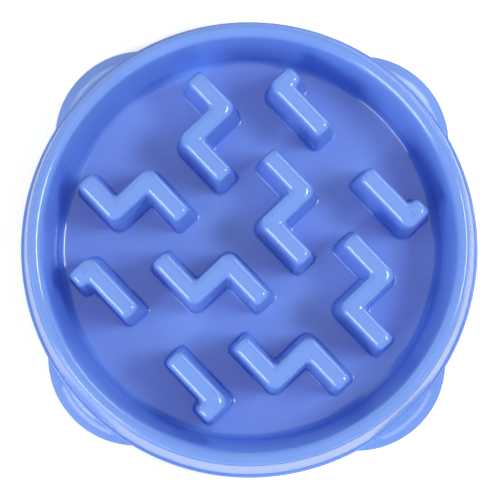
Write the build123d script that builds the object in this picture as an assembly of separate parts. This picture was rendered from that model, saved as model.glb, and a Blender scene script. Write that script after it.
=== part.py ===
from build123d import *
import os
from math import radians, sqrt, tan

# Slow feeder bowl. A hollow plastic moulding, round above and square below, holds a basin whose
# floor carries a maze of ten hollow ridges, and stands on four rubber feet pressed into its corners.
# The moulding is drawn as one section and then divided along hidden lines into floor, wall, skirt,
# base, bosses and ridges, simple solids that meet face to face.
# Millimetres, +Z up. The origin is on the ground under the bowl's middle. The ridges run along
# X and Y, the maze is its own mirror image about the XZ plane, and the corners of the base lie on
# the two axes.

# Moulding
wall = 2.0                  # thickness of every wall of the moulding
bowl_height = 50.0          # ground to the crest of the rim
cut_overrun = 1.0           # how far a cut runs past the face that it opens

# Basin
floor_height = 12.0         # ground to the basin's floor
floor_radius = 89.8         # where the wall would meet the floor without its rounding
basin_corner_round = 4.0
wall_lean = 4.4             # the wall leans out by this from the floor to the rim's crest

# Rim
rim_width = 5.9
rim_inner_round = 3.0
rim_outer_round = 2.2
rim_side_height = 3.2       # crest down to the crease between rim and skirt
rim_roof = 4.5              # solid rim above the hollow between basin and skirt
roof_round_share = 0.35     # rounding of that hollow's roof, as a share of its width

# Skirt and lip
crease_step = 0.7           # ledge from the rim's side out to the skirt
crease_round = 0.3
skirt_top_round = 0.6
skirt_spread = 7.9          # from the rim's outer side out to the edge of the lip
lip_step = 1.2              # the lip stands out from the foot of the skirt by this
lip_rise = 0.5              # basin's floor up to the underside of the lip
lip_height = 3.2
lip_round = 0.9
lip_inner_round = 0.4

# Base
base_corner_overhang = 8.7  # the tip of a corner stands out past the lip by this
base_corner_round = 41.0
base_bottom = 1.5           # the rubber feet lift the moulding's edge off the ground by this
base_edge_height = 4.8      # ground to the widest line of the base
base_draft = 0.4            # the side leans in by this below the widest line
base_edge_round = 3.0
base_inner_round = 1.0
base_foot_round = 0.5
lip_cover = 1.6             # the shoulder runs in under the lip by this
lip_bite = 0.8              # and up into it by this

# Rubber feet and their bosses
boss_height = 20.0
boss_bottom = 4.0           # ground to the face that a foot's head seats on
boss_bite = 1.0             # the boss runs into the walls on either side by this
foot_count = 4
foot_head_radius = 10.0
foot_edge_round = 1.4
foot_stem_radius = 3.0
foot_stem_length = 8.0
foot_stem_round = 0.8
bore_spare_depth = 1.5      # bore left free past the end of the stem

# Ridges, all alike in section
ridge_height = 35.5
ridge_top_width = 8.9
ridge_draft = 3.0           # degrees
ridge_top_round = 2.4
ridge_root_round = 1.2
ridge_end_round = 2.6       # the roundings in plan: ends, then the inside and outside of a bend
bend_inner_round = 1.6
bend_outer_round = 5.0
round_limit_share = 0.45    # most of an edge that one rounding may take

# Zigzag ridges: a cross leg between an outer leg and an inner leg, in three rows of two. Their places
# follow the floor, as shares of its radius, and are those of the legs' middle lines.
zigzag_row_count = 3
zigzag_pitch_share = 0.590
zigzag_outer_share = 0.382   # from the maze's mirror plane to the outer leg
zigzag_inner_share = 0.1476
zigzag_leg_share = 0.265     # from the cross leg to the end of the outer or inner leg
zigzag_wall_clearance = 8.85  # the outer legs of the first row stop this far from the wall

# Corner ridges: a long leg along X and a stub that turns out to the wall, two on either side
corner_bend_share = 0.4677   # from the middle of the bowl to the stub
corner_end_share = 0.1448    # from the middle of the bowl to the long leg's end
corner_wall_clearance = 8.42  # the stub stops this far from the wall
corner_stub_length = 9.2     # from the long leg to the stub's end

# Radii and heights that follow
rim_inner_radius = floor_radius + wall_lean
rim_outer_radius = rim_inner_radius + rim_width
lip_radius = rim_outer_radius + skirt_spread
base_corner_reach = lip_radius + base_corner_overhang
floor_bottom = floor_height - wall
ridge_top = floor_height + ridge_height
crease_height = bowl_height - rim_side_height
skirt_top_radius = rim_outer_radius + crease_step
lip_bottom = floor_height + lip_rise
lip_top = lip_bottom + lip_height
skirt_foot_radius = lip_radius - lip_step
roof_height = bowl_height - rim_roof
boss_top = boss_bottom + boss_height
stem_top = boss_bottom + foot_stem_length

# Places in the maze that follow
zigzag_pitch = zigzag_pitch_share * floor_radius
zigzag_outer_offset = zigzag_outer_share * floor_radius
zigzag_inner_offset = zigzag_inner_share * floor_radius
zigzag_length = zigzag_leg_share * floor_radius
corner_bend = corner_bend_share * floor_radius
corner_end = corner_end_share * floor_radius


def parallel(points, distance):
    """The open polyline moved sideways by distance, to the left of the way it runs."""
    steps = [Vector(*b) - Vector(*a) for a, b in zip(points, points[1:])]
    lefts = [Vector(-step.Y, step.X).normalized() for step in steps]
    before = [lefts[0]] + lefts
    after = lefts + [lefts[-1]]
    moved = []
    for point, first, second in zip(points, before, after):
        mitre = (first + second) / (1 + first.dot(second))
        moved.append(tuple(Vector(*point) + mitre * distance)[:2])
    return moved


def radius_at(height, low, high):
    """Radius at a height on the straight line through two (radius, height) points."""
    share = (height - low[1]) / (high[1] - low[1])
    return low[0] + (high[0] - low[0]) * share


def turned(points, rounds):
    """Solid of revolution about Z, from a closed outline of (radius, height) points."""
    outline = FilletPolyline(*points, radius=rounds, close=True)
    return revolve(Plane.XZ * make_face(outline), Axis.Z)


# Straight lines of the moulding's section, as (radius, height)
basin_inside = [(0, floor_height), (floor_radius, floor_height), (rim_inner_radius, bowl_height)]
basin_outside = parallel(basin_inside, -wall)
skirt_outside = [(skirt_foot_radius, lip_top), (skirt_top_radius, crease_height)]
skirt_inside = parallel(skirt_outside, wall)


def basin_outer_radius(height):
    return radius_at(height, basin_outside[1], basin_outside[2])


def skirt_inner_radius(height):
    return radius_at(height, skirt_inside[0], skirt_inside[1])


roof_width = skirt_inner_radius(roof_height) - basin_outer_radius(roof_height)
roof_round = roof_round_share * roof_width


def shell():
    """Basin, rim, skirt and lip, turned in one piece."""
    corners = [
        (basin_inside[0], 0),
        (basin_inside[1], basin_corner_round),
        (basin_inside[2], rim_inner_round),
        ((rim_outer_radius, bowl_height), rim_outer_round),
        ((rim_outer_radius, crease_height), crease_round),
        (skirt_outside[1], skirt_top_round),
        (skirt_outside[0], crease_round),
        ((lip_radius, lip_top), lip_round),
        ((lip_radius, lip_bottom), lip_round),
        ((skirt_inner_radius(lip_bottom), lip_bottom), lip_inner_round),
        ((skirt_inner_radius(roof_height), roof_height), roof_round),
        ((basin_outer_radius(roof_height), roof_height), roof_round),
        (basin_outside[1], basin_corner_round + wall),
        (basin_outside[0], 0),
    ]
    return turned([point for point, _ in corners], [rounding for _, rounding in corners])


def basin_space():
    """The room inside the basin, up to the rim's crest."""
    corners = basin_inside + [(0, bowl_height)]
    return turned(corners, [0, basin_corner_round, 0, 0])


def tube(inner, outer, low, high):
    """Upright ring between two radii and two heights, or a cylinder where the inner radius is zero."""
    corners = [(inner, low), (outer, low), (outer, high), (inner, high)]
    return turned(corners, [0] * len(corners))


def base_ring():
    """Wall of the base: a section with a sloping shoulder, carried round a square of round corners."""
    sharp_reach = base_corner_reach + base_corner_round * (sqrt(2) - 1)
    corners = [(sharp_reach, 0), (0, sharp_reach), (-sharp_reach, 0), (0, -sharp_reach)]
    path = Wire(FilletPolyline(*corners, radius=base_corner_round, close=True).edges())
    shoulder_run = base_corner_reach - lip_radius + lip_cover
    outside = [
        (-base_draft, base_bottom),
        (0, base_edge_height),
        (-shoulder_run, lip_bottom + lip_bite),
    ]
    inside = parallel(outside, wall)
    inside[0] = (inside[0][0], base_bottom)
    rounds = [base_foot_round, base_edge_round, 0, 0, base_inner_round, base_foot_round]
    outline = FilletPolyline(*outside, *reversed(inside), radius=rounds, close=True)
    along = path % 0
    section_plane = Plane(origin=path @ 0, x_dir=along.cross(Vector(0, 0, 1)), z_dir=-along)
    ring = sweep(section_plane * make_face(outline), path=path)
    return ring - tube(0, skirt_inner_radius(lip_bottom), lip_bottom, bowl_height) - basin_space()


# The bosses stand midway between the basin's wall and the skirt, one in each corner of the base
boss_gap = skirt_inner_radius(boss_top) - basin_outer_radius(boss_top)
foot_reach = basin_outer_radius(boss_top) + boss_gap / 2
boss_radius = boss_gap / 2 + boss_bite
foot_places = PolarLocations(foot_reach, foot_count)


def boss():
    """Column that a rubber foot's stem is pressed into, from the seat of its head upwards."""
    bore = tube(0, foot_stem_radius, boss_bottom, stem_top + bore_spare_depth)
    return tube(0, boss_radius, boss_bottom, boss_top) - bore


def rubber_foot():
    """Push-in foot: a round head that stands on the ground and a stem that fills the bore."""
    corners = [
        ((0, 0), 0),
        ((foot_head_radius, 0), foot_edge_round),
        ((foot_head_radius, boss_bottom), foot_stem_round),
        ((foot_stem_radius, boss_bottom), 0),
        ((foot_stem_radius, stem_top), foot_stem_round),
        ((0, stem_top), 0),
    ]
    return turned([point for point, _ in corners], [rounding for _, rounding in corners])


def ridge_outline(path, grow):
    """Plan of a ridge whose legs follow path, with its width and ends grown on every side."""
    half = ridge_top_width / 2 + grow
    first = (Vector(*path[0]) - Vector(*path[1])).normalized()
    last = (Vector(*path[-1]) - Vector(*path[-2])).normalized()
    line = list(path)
    line[0] = tuple(Vector(*path[0]) + first * grow)[:2]
    line[-1] = tuple(Vector(*path[-1]) + last * grow)[:2]
    left = parallel(line, half)
    right = parallel(line, -half)
    end_round = min(ridge_end_round, 2 * half * round_limit_share)
    left_rounds = [end_round]
    right_rounds = [end_round]
    for a, b, c in zip(line, line[1:], line[2:]):
        turn = (Vector(*b) - Vector(*a)).cross(Vector(*c) - Vector(*b)).Z
        inner, outer = (left_rounds, right_rounds) if turn > 0 else (right_rounds, left_rounds)
        inner.append(bend_inner_round)
        outer.append(bend_outer_round)
    left_rounds.append(end_round)
    right_rounds.append(end_round)
    points = left + right[::-1]
    return make_face(FilletPolyline(*points, radius=left_rounds + right_rounds[::-1], close=True))


def drafted(path, low, high, low_grow, high_grow):
    """Solid between the ridge's plan at two heights."""
    foot = Pos(0, 0, low) * ridge_outline(path, low_grow)
    head = Pos(0, 0, high) * ridge_outline(path, high_grow)
    return loft([foot, head], ruled=True)


def spread(height):
    """How far the drafted side stands out at this distance below the ridge's top."""
    return height * tan(radians(ridge_draft))


def ridge_pocket(path):
    """Hollow of a ridge, from below the basin's floor to a wall short of the ridge's top."""
    low = floor_bottom - cut_overrun
    high = ridge_top - wall
    return drafted(path, low, high, spread(ridge_top - low) - wall, spread(wall) - wall)


def ridge(path):
    """Hollow ridge with rounded top edges, flared at its root where it runs into the floor."""
    body = drafted(path, floor_height, ridge_top, spread(ridge_height), 0)
    body = fillet(body.faces().sort_by(Axis.Z)[-1].edges(), ridge_top_round)
    slab_grow = spread(ridge_height) + 2 * ridge_root_round
    slab = extrude(Pos(0, 0, floor_height) * ridge_outline(path, slab_grow), -cut_overrun)
    joined = (body + slab).solid()
    ledge = joined.faces().filter_by(lambda face: face.inner_wires())[0]
    joined = joined.fillet(ridge_root_round, ledge.inner_wires()[0].edges())
    return joined - slab - ridge_pocket(path)


def reach_at(offset, clearance):
    """How far along a line at this offset from the middle the point lies that clears the wall's foot."""
    return sqrt((floor_radius - clearance) ** 2 - offset ** 2)


def zigzag_path(row, side):
    """Middle line of one zigzag ridge: outer leg, cross leg, inner leg."""
    cross = (row - (zigzag_row_count - 1) / 2) * zigzag_pitch
    outer_end = cross - zigzag_length
    if row == 0:
        outer_end = -reach_at(zigzag_outer_offset, zigzag_wall_clearance)
    return [
        (outer_end, side * zigzag_outer_offset),
        (cross, side * zigzag_outer_offset),
        (cross, side * zigzag_inner_offset),
        (cross + zigzag_length, side * zigzag_inner_offset),
    ]


def corner_path(end, side):
    """Middle line of one corner ridge: long leg, then the stub that turns out to the wall."""
    stub_end = reach_at(corner_bend, corner_wall_clearance)
    leg_offset = stub_end - corner_stub_length
    return [
        (end * corner_end, side * leg_offset),
        (end * corner_bend, side * leg_offset),
        (end * corner_bend, side * stub_end),
    ]


sides = {"left": 1, "right": -1}
ridge_paths = {}
for side_name, side in sides.items():
    for row in range(zigzag_row_count):
        ridge_paths[f"zigzag_ridge_{row + 1}_{side_name}"] = zigzag_path(row, side)
    for end_name, end in {"back": -1, "front": 1}.items():
        ridge_paths[f"corner_ridge_{end_name}_{side_name}"] = corner_path(end, side)

# Dividing lines of the moulding: the edge of the flat floor, and the middle of the hollow under the rim
floor_seam = floor_radius - basin_corner_round
hollow_top = roof_height - roof_round
hollow_middle = (skirt_inner_radius(hollow_top) + basin_outer_radius(hollow_top)) / 2
floor_room = tube(0, floor_seam, 0, bowl_height)
skirt_room = tube(hollow_middle, lip_radius + cut_overrun, 0, hollow_top)

moulding = shell()
pieces = {
    "basin_floor": (moulding & floor_room) - [ridge_pocket(path) for path in ridge_paths.values()],
    "basin_wall": moulding - floor_room - skirt_room,
    "skirt": moulding & skirt_room,
    "base": base_ring() - moulding,
}
for name, path in ridge_paths.items():
    pieces[name] = ridge(path)
for number, place in enumerate(foot_places, start=1):
    pieces[f"foot_boss_{number}"] = place * boss() - moulding
    pieces[f"rubber_foot_{number}"] = place * rubber_foot()

os.makedirs("parts", exist_ok=True)
for name, piece in pieces.items():
    piece.label = name
    export_step(piece, f"parts/{name}.step")
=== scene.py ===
from math import cos, pi, radians, sin, sqrt, tan

import bmesh
import bpy
import numpy as np
from mathutils import Matrix, Vector
from mathutils.geometry import delaunay_2d_cdt


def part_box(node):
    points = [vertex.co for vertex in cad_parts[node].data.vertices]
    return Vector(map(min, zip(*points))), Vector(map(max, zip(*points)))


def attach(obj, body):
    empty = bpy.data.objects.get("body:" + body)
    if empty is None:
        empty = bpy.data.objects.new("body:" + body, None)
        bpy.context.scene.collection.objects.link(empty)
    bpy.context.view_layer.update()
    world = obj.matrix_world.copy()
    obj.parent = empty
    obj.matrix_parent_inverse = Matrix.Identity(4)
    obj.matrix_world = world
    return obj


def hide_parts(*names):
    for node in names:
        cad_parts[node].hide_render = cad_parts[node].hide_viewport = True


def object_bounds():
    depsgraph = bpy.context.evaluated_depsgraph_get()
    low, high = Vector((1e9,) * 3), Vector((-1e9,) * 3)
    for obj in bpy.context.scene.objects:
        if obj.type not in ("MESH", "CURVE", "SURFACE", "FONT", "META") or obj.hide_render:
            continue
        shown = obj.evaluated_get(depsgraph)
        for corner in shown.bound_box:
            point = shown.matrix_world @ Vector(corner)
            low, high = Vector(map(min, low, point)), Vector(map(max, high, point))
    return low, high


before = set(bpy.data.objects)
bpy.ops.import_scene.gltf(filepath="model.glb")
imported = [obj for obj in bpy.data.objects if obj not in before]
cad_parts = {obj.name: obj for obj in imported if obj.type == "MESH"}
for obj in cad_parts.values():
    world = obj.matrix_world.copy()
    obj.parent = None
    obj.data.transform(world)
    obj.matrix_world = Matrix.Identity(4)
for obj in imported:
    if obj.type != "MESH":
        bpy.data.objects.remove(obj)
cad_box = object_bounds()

# Metres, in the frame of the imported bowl: +Z up, the ridges along X and Y, the base's corners on the axes.

# Basin, rim, skirt and lip: the section of the solids, with some roundings changed by about a millimetre
WALL = 0.0020
BOWL_HEIGHT = cad_box[1].z
FLOOR_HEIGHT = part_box("zigzag_ridge_2_left")[0].z
FLOOR_RADIUS = 0.0898
BASIN_CORNER_ROUND = 0.0040
RIM_INNER_RADIUS = 0.0942
RIM_OUTER_RADIUS = 0.1001
RIM_INNER_ROUND = 0.0041
RIM_OUTER_ROUND = 0.0022
RIM_SIDE_HEIGHT = 0.0032
RIM_ROOF = 0.0045
ROOF_ROUND_SHARE = 0.35
CREASE_STEP = 0.0007
CREASE_ROUND = 0.0003
SKIRT_TOP_ROUND = 0.0006
LIP_RADIUS = 0.1080
LIP_STEP = 0.0013
LIP_GROOVE_DEPTH = 0.0001
LIP_GROOVE_RUN = 0.0004
LIP_GROOVE_ROUND = 0.0001
LIP_BOTTOM = 0.0125
LIP_HEIGHT = 0.0032
LIP_ROUND = 0.0008
LIP_INNER_ROUND = 0.0004

# Base: a square with round corners under the lip, its shoulders slightly crowned
BASE_CORNER_REACH = 0.1167
BASE_CORNER_ROUND = 0.0425
BASE_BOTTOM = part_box("base")[0].z
BASE_EDGE_HEIGHT = 0.0048
BASE_DRAFT = 0.0004
BASE_EDGE_ROUND = 0.0030
SHOULDER_BULGE = 0.0010
SHOULDER_ROUND = 0.0380
BASE_INNER_ROUND = 0.0010
BASE_FOOT_ROUND = 0.0005
LIP_COVER = 0.0016
LIP_BITE = 0.0002

# Bosses and rubber feet
BOSS_HEIGHT = 0.0200
BOSS_BITE = 0.0010
FOOT_HEAD_HEIGHT = 0.0040
FOOT_EDGE_ROUND = 0.0014
FOOT_STEM_RADIUS = 0.0030
FOOT_STEM_ROUND = 0.0008
FOOT_GROOVE_RADII = (0.0030, 0.0055, 0.0076)
FOOT_GROOVE_WIDTH = 0.0009
FOOT_GROOVE_DEPTH = 0.0006

# Ridges: their section, the roundings of their plan, and the places of their middle lines
RIDGE_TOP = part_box("zigzag_ridge_2_left")[1].z
RIDGE_TOP_WIDTH = 0.0089
RIDGE_DRAFT = radians(3.0)
RIDGE_TOP_ROUND = 0.0031
RIDGE_ROOT_ROUND = 0.0012
RIDGE_END_ROUND = 0.0028
END_ROUND_SHARE = 0.9
BEND_INNER_ROUND = 0.0018
BEND_OUTER_ROUND = 0.0050
ZIGZAG_ROWS = (1, 2, 3)
ZIGZAG_MIDDLE_ROW = 2
ZIGZAG_PITCH = 0.0530
ZIGZAG_OUTER_OFFSET = 0.0343
ZIGZAG_INNER_OFFSET = 0.01325
ZIGZAG_LEG_LENGTH = 0.0238
ZIGZAG_SHORT_LENGTH = 0.0203
CORNER_OFFSET = 0.0605
CORNER_BEND = 0.0420
CORNER_END = 0.0130
CORNER_STUB_REACH = 0.0697

# Marks left on two corner ridges where the plastic was let into the mould
GATE_HOLE_RADIUS = 0.00045
GATE_RING_RADIUS = 0.00115
GATE_RING_HEIGHT = 0.00045
GATE_RING_ROUND = 0.00030
GATE_RING_BITE = 0.00012
GATE_ALONG = 0.0420
GATE_ACROSS = 0.0630

# How finely the surfaces are divided: steps round an axis or a corner, and longest sides
TURN_STEPS = 360
BASE_CORNER_STEPS = 60
BOSS_STEPS = 60
FOOT_STEPS = 90
GATE_STEPS = 36
ARC_STEPS = 9
LONGEST_SIDE = 0.0040
LONGEST_RISE = 0.0012

# How meshes are joined: points that count as one, edges that stay sharp, how the floor is triangulated
MERGE_DISTANCE = 1e-7
SHARP_ANGLE = radians(50)
TRIANGLES_INSIDE = 1
TRIANGLES_CLOSENESS = 1e-9

# Finish of the plastic: colours, range of roughness, noises as (marks in a metre, detail), and bumps as
# (strength, height)
PLASTIC_DEEP = (0.150, 0.305, 0.825, 1)
PLASTIC_LIGHT = (0.165, 0.330, 0.865, 1)
PLASTIC_ROUGHNESS = (0.09, 0.16)
PLASTIC_IOR = 1.55
CLOUD_NOISE = (22, 3)
CLOUD_RANGE = (0.3, 0.7)
WAVE_NOISE = (40, 1)
WAVE_BUMP = (0.25, 0.0002)
SKIN_NOISE = (700, 2)
SKIN_BUMP = (0.04, 0.0005)

# Hairline scuffs: noise stretched along a line, of which only the strongest part roughens the plastic
SCUFF_TURN = (0, 0, radians(25))
SCUFF_STRETCH = (30, 900, 60)
SCUFF_NOISE = (1, 2)
SCUFF_RANGE = (0.62, 0.72)
SCUFF_ROUGHNESS = 0.12

# Finish of the rubber
RUBBER_DARK = (0.018, 0.020, 0.024, 1)
RUBBER_LIGHT = (0.040, 0.043, 0.050, 1)
RUBBER_ROUGHNESS = 0.75
GRAIN_NOISE = (900, 2)
GRAIN_BUMP = (0.15, 0.0003)

# White surroundings: how strongly the world lights the bowl, how bright the world and the floor look, and
# how much of that gloss mirrors
WHITE = (1, 1, 1, 1)
WORLD_LIGHT = 0.25
WORLD_SEEN = 1.0
WORLD_MIRRORED_SHARE = 1.0
PAPER_COLOUR = (0.93, 0.93, 0.93, 1)
PAPER_ROUGHNESS = 0.9
PAPER_SPECULAR = 0.1
PAPER_HALF_WIDTH = 0.85
PAPER_LIFT = 0.42
PAPER_MIRRORED_SHARE = 0.30

# Soft lights: where they stand to the photograph's right, down and up, their width and height, their power
SOFT_LIGHTS = {
    "lower_left_softbox": ((-0.92, 0.78, 0.80), (0.60, 0.75), 10.5),
    "right_softbox": ((0.75, -0.05, 1.05), (0.45, 0.32), 6.9),
    "overhead_softbox": ((0, 0, 1.60), (1.60, 1.60), 2.5),
    "upper_right_softbox": ((0.85, -0.85, 0.45), (0.45, 0.70), 2.2),
    "lower_left_card": ((-0.75, 0.75, 0.20), (0.90, 0.12), 1.4),
    "upper_right_card": ((0.75, -0.75, 0.20), (0.90, 0.12), 1.4),
    "lower_right_card": ((0.75, 0.75, 0.20), (0.90, 0.12), 0.9),
    "upper_left_card": ((-0.75, -0.75, 0.20), (0.90, 0.12), 1.0),
}

# The photograph's camera: its height, lean and lens, the turn of the photograph, and what it aims at
CAMERA_HEIGHT = 0.800
CAMERA_TILT = radians(3.95)
CAMERA_LENS = 119.8
CAMERA_SENSOR = 36
PHOTO_TURN = radians(46.35)
AIM_RIGHT = 0.00035
AIM_DOWN = 0.00104
AIM_HEIGHT = 0.0150


def unit(vectors):
    """Vectors divided by their own lengths."""
    return vectors / np.linalg.norm(vectors, axis=-1, keepdims=True)


def parallel(points, distance):
    """Open polyline moved to its left: each corner goes out along the mitre of its two sides."""
    steps = np.diff(points, axis=0)
    lefts = unit(np.stack([-steps[:, 1], steps[:, 0]], axis=1))
    before = np.vstack([lefts[:1], lefts])
    after = np.vstack([lefts, lefts[-1:]])
    mitres = (before + after) / (1 + (before * after).sum(axis=1, keepdims=True))
    return points + mitres * distance


def rounded(corners, rounds, steps=ARC_STEPS):
    """Closed outline whose corners are arcs.

    Each arc touches both sides at its radius over the tangent of half the corner's angle, and its
    points come from turning the first spoke of the arc evenly into the last one.
    """
    corners = np.asarray(corners, float)
    rounds = np.asarray(rounds, float)[:, None]
    back = unit(np.roll(corners, 1, axis=0) - corners)
    ahead = unit(np.roll(corners, -1, axis=0) - corners)
    angle = np.arccos(np.clip((back * ahead).sum(axis=1, keepdims=True), -1, 1))
    centres = corners + unit(back + ahead) * rounds / np.sin(angle / 2)
    reach = rounds / np.tan(angle / 2)
    first = corners + back * reach - centres
    last = corners + ahead * reach - centres
    sweep = (pi - angle)[:, None]
    along = np.linspace(0, 1, steps)[None, :, None]
    spokes = first[:, None] * np.sin((1 - along) * sweep) + last[:, None] * np.sin(along * sweep)
    return (centres[:, None] + spokes / np.sin(sweep)).reshape(-1, 2)


def divided(outline, longest):
    """Closed outline with points added along its sides, none left longer than a length.

    Every column is interpolated along the length of the outline, which the first two columns give.
    """
    closed = np.vstack([outline, outline[:1]])
    along = np.concatenate([[0], np.cumsum(np.linalg.norm(np.diff(closed[:, :2], axis=0), axis=1))])
    marks = np.union1d(along[:-1], np.arange(0, along[-1], longest))
    return np.column_stack([np.interp(marks, along, column) for column in closed.T])


def quads(rows, columns, close_rows=False):
    """Faces of a grid whose columns run round and meet, and whose rows may meet as well."""
    row = np.arange(rows if close_rows else rows - 1)[:, None]
    column = np.arange(columns)[None, :]
    below = row * columns
    above = (row + 1) % rows * columns
    beside = (column + 1) % columns
    faces = np.stack([below + column, below + beside, above + beside, above + column], axis=-1)
    return faces.reshape(-1, 4).tolist()


def turned(section, steps=TURN_STEPS, close=True):
    """Surface of revolution: every point of a (radius, height) section, closed or open, goes round Z."""
    angle = np.linspace(0, 2 * pi, steps, endpoint=False)[None, :]
    radius = section[:, :1]
    height = section[:, 1:]
    grid = np.stack([radius * np.cos(angle), radius * np.sin(angle), height + 0 * angle], axis=-1)
    return grid.reshape(-1, 3), quads(len(section), steps, close_rows=close)


def placed(shell, x, y):
    """A shell moved along the ground."""
    vertices, faces = shell
    return vertices + np.array([x, y, 0]), faces


def piece(name, shells, material):
    """One mesh object from shells that are closed, or close where their edges merge.

    It is smooth-shaded but for its sharp edges.
    """
    vertices = []
    faces = []
    count = 0
    for points, polygons in shells:
        vertices.append(points)
        faces += [[count + index for index in polygon] for polygon in polygons]
        count += len(points)
    mesh = bpy.data.meshes.new(name)
    mesh.from_pydata(np.vstack(vertices).tolist(), [], faces)
    work = bmesh.new()
    work.from_mesh(mesh)
    bmesh.ops.remove_doubles(work, verts=work.verts, dist=MERGE_DISTANCE)
    bmesh.ops.dissolve_degenerate(work, edges=work.edges, dist=MERGE_DISTANCE)
    bmesh.ops.recalc_face_normals(work, faces=work.faces)
    work.to_mesh(mesh)
    work.free()
    mesh.polygons.foreach_set("use_smooth", np.ones(len(mesh.polygons), bool))
    mesh.set_sharp_from_angle(angle=SHARP_ANGLE)
    mesh.materials.append(material)
    made = bpy.data.objects.new(name, mesh)
    bpy.context.collection.objects.link(made)
    return made


# Straight lines of the moulding's section, as (radius, height)
basin_inside = np.array([(0, FLOOR_HEIGHT), (FLOOR_RADIUS, FLOOR_HEIGHT), (RIM_INNER_RADIUS, BOWL_HEIGHT)])
basin_outside = parallel(basin_inside, -WALL)
crease_height = BOWL_HEIGHT - RIM_SIDE_HEIGHT
lip_top = LIP_BOTTOM + LIP_HEIGHT
skirt_foot = (LIP_RADIUS - LIP_STEP, lip_top - LIP_GROOVE_DEPTH)
skirt_outside = np.array([skirt_foot, (RIM_OUTER_RADIUS + CREASE_STEP, crease_height)])
skirt_inside = parallel(skirt_outside, WALL)
floor_bottom = FLOOR_HEIGHT - WALL
roof_height = BOWL_HEIGHT - RIM_ROOF
floor_seam = FLOOR_RADIUS - BASIN_CORNER_ROUND


def radius_at(height, line):
    """Radius at a height on the straight line through the last two (radius, height) points of a line."""
    (low_radius, low), (high_radius, high) = line[-2:]
    return low_radius + (high_radius - low_radius) * (height - low) / (high - low)


def bowl_shell():
    """Basin wall, rim, skirt and lip: one section turned about Z, open at the edge of the flat floor."""
    roof_outer = radius_at(roof_height, skirt_inside)
    roof_inner = radius_at(roof_height, basin_outside)
    roof_round = ROOF_ROUND_SHARE * (roof_outer - roof_inner)
    corners = [
        (floor_seam, FLOOR_HEIGHT, 0),
        (*basin_inside[1], BASIN_CORNER_ROUND),
        (*basin_inside[2], RIM_INNER_ROUND),
        (RIM_OUTER_RADIUS, BOWL_HEIGHT, RIM_OUTER_ROUND),
        (RIM_OUTER_RADIUS, crease_height, CREASE_ROUND),
        (*skirt_outside[1], SKIRT_TOP_ROUND),
        (*skirt_outside[0], LIP_GROOVE_ROUND),
        (skirt_foot[0] + LIP_GROOVE_RUN, lip_top, LIP_GROOVE_ROUND),
        (LIP_RADIUS, lip_top, LIP_ROUND),
        (LIP_RADIUS, LIP_BOTTOM, LIP_ROUND),
        (radius_at(LIP_BOTTOM, skirt_inside), LIP_BOTTOM, LIP_INNER_ROUND),
        (roof_outer, roof_height, roof_round),
        (roof_inner, roof_height, roof_round),
        (*basin_outside[1], BASIN_CORNER_ROUND + WALL),
        (floor_seam, floor_bottom, 0),
    ]
    corners = np.array(corners)
    return turned(rounded(corners[:, :2], corners[:, 2]), close=False)


def base_ring():
    """Wall of the base: a section carried round a square with round corners.

    A point of the ring is the path's point plus the outward normal times the section's offset. Where the
    ring runs under the basin its height is held to the middle of the basin's own wall.
    """
    sharp_reach = BASE_CORNER_REACH + BASE_CORNER_ROUND * (sqrt(2) - 1)
    square = sharp_reach * np.array([(1, 0), (0, 1), (-1, 0), (0, -1)])
    path = rounded(square, [BASE_CORNER_ROUND] * len(square), steps=BASE_CORNER_STEPS)
    centres = np.repeat(square - unit(square) * BASE_CORNER_ROUND * sqrt(2), BASE_CORNER_STEPS, axis=0)
    path = divided(np.hstack([path, unit(path - centres)]), LONGEST_SIDE)
    path, outward = path[:, :2], unit(path[:, 2:])
    shoulder_run = BASE_CORNER_REACH - LIP_RADIUS + LIP_COVER
    edge = np.array([0, BASE_EDGE_HEIGHT])
    under_lip = np.array([-shoulder_run, LIP_BOTTOM + LIP_BITE])
    slope = unit(under_lip - edge)
    crown = (edge + under_lip) / 2 + SHOULDER_BULGE * np.array([slope[1], -slope[0]])
    outside = np.array([(-BASE_DRAFT, BASE_BOTTOM), edge, crown, under_lip])
    inside = parallel(outside, WALL)
    inside[0, 1] = BASE_BOTTOM
    outer_rounds = [BASE_FOOT_ROUND, BASE_EDGE_ROUND, SHOULDER_ROUND, 0]
    inner_rounds = [0, SHOULDER_ROUND - WALL, BASE_INNER_ROUND, BASE_FOOT_ROUND]
    section = rounded(np.vstack([outside, inside[::-1]]), outer_rounds + inner_rounds)
    section = divided(section, LONGEST_RISE)
    plan = path[None] + outward[None] * section[:, None, :1]
    height = np.broadcast_to(section[:, None, 1], plan.shape[:2])
    middle_round = BASIN_CORNER_ROUND + WALL / 2
    beyond = np.clip(np.linalg.norm(plan, axis=-1) - floor_seam, 0, middle_round)
    ceiling = floor_bottom + WALL / 2 + middle_round - np.sqrt(middle_round ** 2 - beyond ** 2)
    ceiling = np.where(beyond < middle_round, ceiling, BOWL_HEIGHT)
    grid = np.dstack([plan, np.minimum(height, ceiling)])
    return grid.reshape(-1, 3), quads(len(section), len(path), close_rows=True)


def boss(low, high):
    """Column over a rubber foot: a rectangle turned about the foot's axis, wide enough to bite into the
    bowl's walls on either side."""
    middle = (low + high) / 2
    top = FOOT_HEAD_HEIGHT + BOSS_HEIGHT
    gap = radius_at(top, skirt_inside) - radius_at(top, basin_outside)
    outer = gap / 2 + BOSS_BITE
    section = np.array([(0, FOOT_HEAD_HEIGHT), (outer, FOOT_HEAD_HEIGHT), (outer, top), (0, top)])
    return placed(turned(section, BOSS_STEPS), middle.x, middle.y)


def spread(drop):
    """How far a ridge's drafted side stands out at this distance below its top."""
    return drop * tan(RIDGE_DRAFT)


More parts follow.
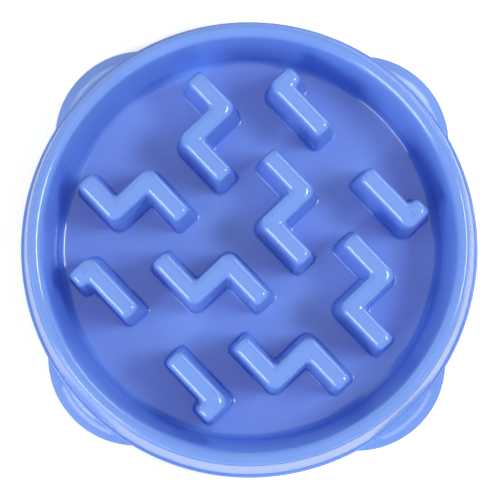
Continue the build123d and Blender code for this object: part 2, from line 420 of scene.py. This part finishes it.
def ridge_plan(path, grow):
    """Plan of a ridge: both sides of its middle line and its ends, grown by a distance, corners rounded."""
    line = np.array(path, float)
    line[0] += unit(line[0] - line[1]) * grow
    line[-1] += unit(line[-1] - line[-2]) * grow
    half = RIDGE_TOP_WIDTH / 2 + grow
    steps = np.diff(line, axis=0)
    turns = steps[:-1, 0] * steps[1:, 1] - steps[:-1, 1] * steps[1:, 0]
    end = min(RIDGE_END_ROUND, END_ROUND_SHARE * half)
    left = np.concatenate([[end], np.where(turns > 0, BEND_INNER_ROUND, BEND_OUTER_ROUND), [end]])
    right = np.concatenate([[end], np.where(turns > 0, BEND_OUTER_ROUND, BEND_INNER_ROUND), [end]])
    corners = np.vstack([parallel(line, half), parallel(line, -half)[::-1]])
    return rounded(corners, np.concatenate([left, right[::-1]]))


def level(path, grow, height):
    """A ridge's plan at a height, as points in space."""
    plan = ridge_plan(path, grow)
    return np.column_stack([plan, np.full(len(plan), height)])


def eased(corner, first, last):
    """Rings that round a corner: from first to last along a quarter of an ellipse about the corner."""
    turn = np.linspace(0, pi / 2, ARC_STEPS)[:, None, None]
    return corner + (first - corner) * (1 - np.sin(turn)) + (last - corner) * (1 - np.cos(turn))


def ridge_pocket_plan(path):
    """Outline of the hole in the floor under a hollow ridge."""
    return ridge_plan(path, spread(RIDGE_TOP - FLOOR_HEIGHT) - WALL)


def ridge_shell(path):
    """Hollow ridge: rings of its plan from the flat top, over the rounded edge, down the drafted side and
    out along the rounded root, then in under the wall and up the hollow inside."""
    height = RIDGE_TOP - FLOOR_HEIGHT
    top = level(path, -RIDGE_TOP_ROUND, RIDGE_TOP)
    shoulder = level(path, spread(RIDGE_TOP_ROUND), RIDGE_TOP - RIDGE_TOP_ROUND)
    waist = level(path, spread(height - RIDGE_ROOT_ROUND), FLOOR_HEIGHT + RIDGE_ROOT_ROUND)
    toe = level(path, spread(height) + RIDGE_ROOT_ROUND, FLOOR_HEIGHT)
    rings = np.concatenate([
        eased(level(path, 0, RIDGE_TOP), top, shoulder),
        eased(level(path, spread(height), FLOOR_HEIGHT), waist, toe),
        level(path, spread(height) - WALL, FLOOR_HEIGHT)[None],
        level(path, spread(WALL) - WALL, RIDGE_TOP - WALL)[None],
    ])
    rows, columns = rings.shape[:2]
    faces = quads(rows, columns)
    faces.append(list(range(columns)))
    faces.append(list(range((rows - 1) * columns, rows * columns)))
    return rings.reshape(-1, 3), faces


def zigzag_path(row, side):
    """Middle line of one zigzag ridge: outer leg, cross leg, inner leg."""
    cross = (row - ZIGZAG_MIDDLE_ROW) * ZIGZAG_PITCH
    outer_length = ZIGZAG_SHORT_LENGTH if row == ZIGZAG_ROWS[0] else ZIGZAG_LEG_LENGTH
    return [
        (cross - outer_length, side * ZIGZAG_OUTER_OFFSET),
        (cross, side * ZIGZAG_OUTER_OFFSET),
        (cross, side * ZIGZAG_INNER_OFFSET),
        (cross + ZIGZAG_LEG_LENGTH, side * ZIGZAG_INNER_OFFSET),
    ]


def corner_path(end, side):
    """Middle line of one corner ridge: long leg, then the stub that turns out to the wall."""
    return [
        (end * CORNER_END, side * CORNER_OFFSET),
        (end * CORNER_BEND, side * CORNER_OFFSET),
        (end * CORNER_BEND, side * CORNER_STUB_REACH),
    ]


ridge_paths = {}
for side_name, side in {"left": 1, "right": -1}.items():
    for row in ZIGZAG_ROWS:
        ridge_paths[f"zigzag_ridge_{row}_{side_name}"] = zigzag_path(row, side)
    for end_name, end in {"back": -1, "front": 1}.items():
        ridge_paths[f"corner_ridge_{end_name}_{side_name}"] = corner_path(end, side)


def lies_inside(points, outline):
    """Whether each point lies in a closed outline: a ray along +X from it crosses the sides an odd count."""
    start = outline[None]
    step = np.roll(outline, -1, axis=0)[None] - start
    rise = points[:, None, 1] - start[..., 1]
    crosses = (rise < 0) != (rise - step[..., 1] < 0)
    share = rise / np.where(step[..., 1] == 0, 1, step[..., 1])
    ahead = start[..., 0] + share * step[..., 0] > points[:, None, 0]
    return (crosses & ahead).sum(axis=1) % 2 == 1


def floor_plate():
    """Flat floor inside the basin's wall: a disc with a hole under each ridge, and walls round the holes.

    The disc is triangulated between the outlines, and the triangles whose middles lie in a hole go.
    """
    angle = np.linspace(0, 2 * pi, TURN_STEPS, endpoint=False)
    outlines = [floor_seam * np.column_stack([np.cos(angle), np.sin(angle)])]
    outlines += [ridge_pocket_plan(path) for path in ridge_paths.values()]
    starts = np.cumsum([0] + [len(outline) for outline in outlines])
    edges = []
    for start, outline in zip(starts, outlines):
        number = np.arange(len(outline))
        edges += np.column_stack([start + number, start + (number + 1) % len(outline)]).tolist()
    flat = np.vstack(outlines)
    triangulated = delaunay_2d_cdt(flat.tolist(), edges, [], TRIANGLES_INSIDE, TRIANGLES_CLOSENESS)
    triangles = np.array(triangulated[2])
    middles = flat[triangles].mean(axis=1)
    in_hole = np.any([lies_inside(middles, outline) for outline in outlines[1:]], axis=0)
    triangles = triangles[~in_hole]
    count = len(flat)
    top = np.column_stack([flat, np.full(count, FLOOR_HEIGHT)])
    bottom = np.column_stack([flat, np.full(count, floor_bottom)])
    hole_edges = np.array(edges[TURN_STEPS:])
    walls = np.column_stack([hole_edges, hole_edges[:, ::-1] + count])
    faces = triangles.tolist() + (triangles[:, ::-1] + count).tolist() + walls.tolist()
    return np.vstack([top, bottom]), faces


def gate_mark(side):
    """Mark of a moulding gate: the rounded section of a low bead turned about its own axis into a ring."""
    low = RIDGE_TOP - GATE_RING_BITE
    high = RIDGE_TOP + GATE_RING_HEIGHT
    corners = [
        (GATE_HOLE_RADIUS, low, 0),
        (GATE_HOLE_RADIUS, high, GATE_RING_ROUND),
        (GATE_RING_RADIUS, high, GATE_RING_ROUND),
        (GATE_RING_RADIUS, low, 0),
    ]
    corners = np.array(corners)
    shell = turned(rounded(corners[:, :2], corners[:, 2]), GATE_STEPS)
    return placed(shell, side * GATE_ALONG, side * GATE_ACROSS)


def rubber_foot(low, high):
    """Push-in foot turned about its own axis: a round head with ring grooves underneath, and its stem."""
    middle = (low + high) / 2
    head_radius = (high.x - low.x) / 2
    grooves = []
    for radius in FOOT_GROOVE_RADII:
        near = radius - FOOT_GROOVE_WIDTH / 2
        far = radius + FOOT_GROOVE_WIDTH / 2
        grooves += [(near, low.z, 0), (radius, low.z + FOOT_GROOVE_DEPTH, 0), (far, low.z, 0)]
    corners = [
        (0, low.z, 0),
        *grooves,
        (head_radius, low.z, FOOT_EDGE_ROUND),
        (head_radius, FOOT_HEAD_HEIGHT, FOOT_STEM_ROUND),
        (FOOT_STEM_RADIUS, FOOT_HEAD_HEIGHT, 0),
        (FOOT_STEM_RADIUS, high.z, FOOT_STEM_ROUND),
        (0, high.z, 0),
    ]
    corners = np.array(corners)
    shell = turned(rounded(corners[:, :2], corners[:, 2]), FOOT_STEPS)
    return placed(shell, middle.x, middle.y)


def wired(tree, node, sockets):
    """A node whose sockets each get a number of their own, or a link from another node's output."""
    for socket, value in sockets.items():
        if isinstance(value, bpy.types.NodeSocket):
            tree.links.new(value, node.inputs[socket])
        else:
            node.inputs[socket].default_value = value
    return node


def new_node(tree, kind, sockets):
    """New node with its sockets wired."""
    return wired(tree, tree.nodes.new(kind), sockets)


def new_finish(name):
    """New material, its node tree and its shader."""
    material = bpy.data.materials.new(name)
    material.use_nodes = True
    return material, material.node_tree, material.node_tree.nodes["Principled BSDF"]


def combined(tree, operation, first, second):
    """Two values put together by a Math node's operation."""
    node = new_node(tree, "ShaderNodeMath", {0: first, 1: second})
    node.operation = operation
    return node.outputs["Value"]


def noise(tree, place, scale, detail):
    """Soft random values between 0 and 1 over a place."""
    sockets = {"Vector": place, "Scale": scale, "Detail": detail}
    return new_node(tree, "ShaderNodeTexNoise", sockets).outputs["Fac"]


def ranged(tree, value, known, wanted):
    """A value that runs over a known range carried over to a wanted one."""
    sockets = {"Value": value, "From Min": known[0], "From Max": known[1]}
    sockets.update({"To Min": wanted[0], "To Max": wanted[1]})
    return new_node(tree, "ShaderNodeMapRange", sockets).outputs["Result"]


def tinted(tree, value, known, colours):
    """Colour that runs from one to another while a value runs over a known range."""
    node = new_node(tree, "ShaderNodeValToRGB", {"Fac": value})
    for stop, position, colour in zip(node.color_ramp.elements, known, colours):
        stop.position = position
        stop.color = colour
    return node.outputs["Color"]


def bumped(tree, height, strength, distance):
    """Node that bends the normal by a height."""
    sockets = {"Height": height, "Strength": strength, "Distance": distance}
    return new_node(tree, "ShaderNodeBump", sockets)


def plastic():
    """Glossy moulded polypropylene: blue, with faint clouding, a soft waviness, a fine skin and scuffs.

    Clouds shift the colour and the roughness together, scuffs add to the roughness, and the waviness and
    the skin bend the normal, the one on top of the other.
    """
    material, tree, shader = new_finish("blue_plastic")
    place = tree.nodes.new("ShaderNodeTexCoord").outputs["Object"]
    cloud = noise(tree, place, *CLOUD_NOISE)
    haze = ranged(tree, cloud, (0, 1), PLASTIC_ROUGHNESS)
    drawn = {"Vector": place, "Rotation": SCUFF_TURN, "Scale": SCUFF_STRETCH}
    drawn_place = new_node(tree, "ShaderNodeMapping", drawn).outputs["Vector"]
    scuff = ranged(tree, noise(tree, drawn_place, *SCUFF_NOISE), SCUFF_RANGE, (0, SCUFF_ROUGHNESS))
    wave = bumped(tree, noise(tree, place, *WAVE_NOISE), *WAVE_BUMP)
    skin = bumped(tree, noise(tree, place, *SKIN_NOISE), *SKIN_BUMP)
    wired(tree, skin, {"Normal": wave.outputs["Normal"]})
    wired(tree, shader, {
        "Base Color": tinted(tree, cloud, CLOUD_RANGE, (PLASTIC_DEEP, PLASTIC_LIGHT)),
        "Roughness": combined(tree, "ADD", haze, scuff),
        "IOR": PLASTIC_IOR,
        "Normal": skin.outputs["Normal"],
    })
    return material


def rubber():
    """Matt grey rubber with a fine grain that shifts its colour and bends its normal."""
    material, tree, shader = new_finish("grey_rubber")
    place = tree.nodes.new("ShaderNodeTexCoord").outputs["Object"]
    grain = noise(tree, place, *GRAIN_NOISE)
    wired(tree, shader, {
        "Base Color": tinted(tree, grain, (0, 1), (RUBBER_DARK, RUBBER_LIGHT)),
        "Roughness": RUBBER_ROUGHNESS,
        "Normal": bumped(tree, grain, *GRAIN_BUMP).outputs["Normal"],
    })
    return material


blue_plastic = plastic()
grey_rubber = rubber()

feet = [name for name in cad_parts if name.startswith("rubber_foot")]
bosses = [boss(*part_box(name)) for name in feet]
bowl = piece("bowl_moulding", [bowl_shell(), floor_plate(), base_ring(), *bosses], blue_plastic)
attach(bowl, "root")
boss_nodes = [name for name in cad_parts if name.startswith("foot_boss")]
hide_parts("basin_floor", "basin_wall", "skirt", "base", *boss_nodes)

for name, path in ridge_paths.items():
    ridge = piece(f"{name}_moulded", [ridge_shell(path)], blue_plastic)
    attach(ridge, "root")
    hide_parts(name)

for corner_name, side in {"front_left": 1, "back_right": -1}.items():
    mark = piece(f"gate_mark_{corner_name}", [gate_mark(side)], blue_plastic)
    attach(mark, "root")

for name in feet:
    foot = piece(f"{name}_grooved", [rubber_foot(*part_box(name))], grey_rubber)
    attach(foot, "root")
    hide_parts(name)


def seen_strength(tree, unseen, seen, mirrored_share):
    """Strength by kind of ray: one for what the camera sees, one for the light that falls on things.

    What gloss mirrors gets a share of the way from the second to the first.
    """
    ray = tree.nodes.new("ShaderNodeLightPath").outputs
    mirrored = combined(tree, "MULTIPLY", ray["Is Glossy Ray"], mirrored_share)
    either = combined(tree, "MAXIMUM", ray["Is Camera Ray"], mirrored)
    return ranged(tree, either, (0, 1), (unseen, seen))


def studio_floor():
    """Plain white floor that keeps the shadow: a wide square of white paper."""
    half = PAPER_HALF_WIDTH
    corners = [(-half, -half, 0), (half, -half, 0), (half, half, 0), (-half, half, 0)]
    mesh = bpy.data.meshes.new("studio_floor")
    mesh.from_pydata(corners, [], [(0, 1, 2, 3)])
    material, tree, shader = new_finish("white_paper")
    wired(tree, shader, {
        "Base Color": PAPER_COLOUR,
        "Roughness": PAPER_ROUGHNESS,
        "Specular IOR Level": PAPER_SPECULAR,
        "Emission Color": WHITE,
        "Emission Strength": seen_strength(tree, 0, PAPER_LIFT, PAPER_MIRRORED_SHARE),
    })
    mesh.materials.append(material)
    made = bpy.data.objects.new("studio_floor", mesh)
    bpy.context.collection.objects.link(made)


def soft_light(name, place, size, power):
    """Rectangular soft light at a place, turned to the bowl."""
    data = bpy.data.lights.new(name, "AREA")
    data.shape = "RECTANGLE"
    data.size, data.size_y = size
    data.energy = power
    made = bpy.data.objects.new(name, data)
    made.location = place
    made.rotation_mode = "QUATERNION"
    made.rotation_quaternion = (-place).to_track_quat("-Z", "Y")
    bpy.context.collection.objects.link(made)


photo_right = Vector((cos(PHOTO_TURN), sin(PHOTO_TURN), 0))
photo_down = Vector((sin(PHOTO_TURN), -cos(PHOTO_TURN), 0))
upright = Vector((0, 0, 1))


def photo_camera():
    """Camera almost straight above the bowl, leaning back towards the photograph's lower edge."""
    aim = photo_right * AIM_RIGHT + photo_down * AIM_DOWN + upright * AIM_HEIGHT
    back = upright * cos(CAMERA_TILT) + photo_down * sin(CAMERA_TILT)
    up = back.cross(photo_right)
    place = aim + back * (CAMERA_HEIGHT - AIM_HEIGHT) / cos(CAMERA_TILT)
    data = bpy.data.cameras.new("photo_camera")
    data.sensor_width = CAMERA_SENSOR
    data.lens = CAMERA_LENS
    made = bpy.data.objects.new("photo_camera", data)
    axes = Matrix((photo_right, up, back)).transposed().to_4x4()
    made.matrix_world = Matrix.Translation(place) @ axes
    bpy.context.collection.objects.link(made)
    bpy.context.scene.camera = made


studio_floor()
photo_camera()
for name, ((right, down, up), size, power) in SOFT_LIGHTS.items():
    soft_light(name, photo_right * right + photo_down * down + upright * up, size, power)

world = bpy.data.worlds.new("studio")
world.use_nodes = True
sky = world.node_tree
wired(sky, sky.nodes["Background"], {
    "Color": WHITE,
    "Strength": seen_strength(sky, WORLD_LIGHT, WORLD_SEEN, WORLD_MIRRORED_SHARE),
})
bpy.context.scene.world = world
bpy.context.scene.view_settings.view_transform = "Standard"
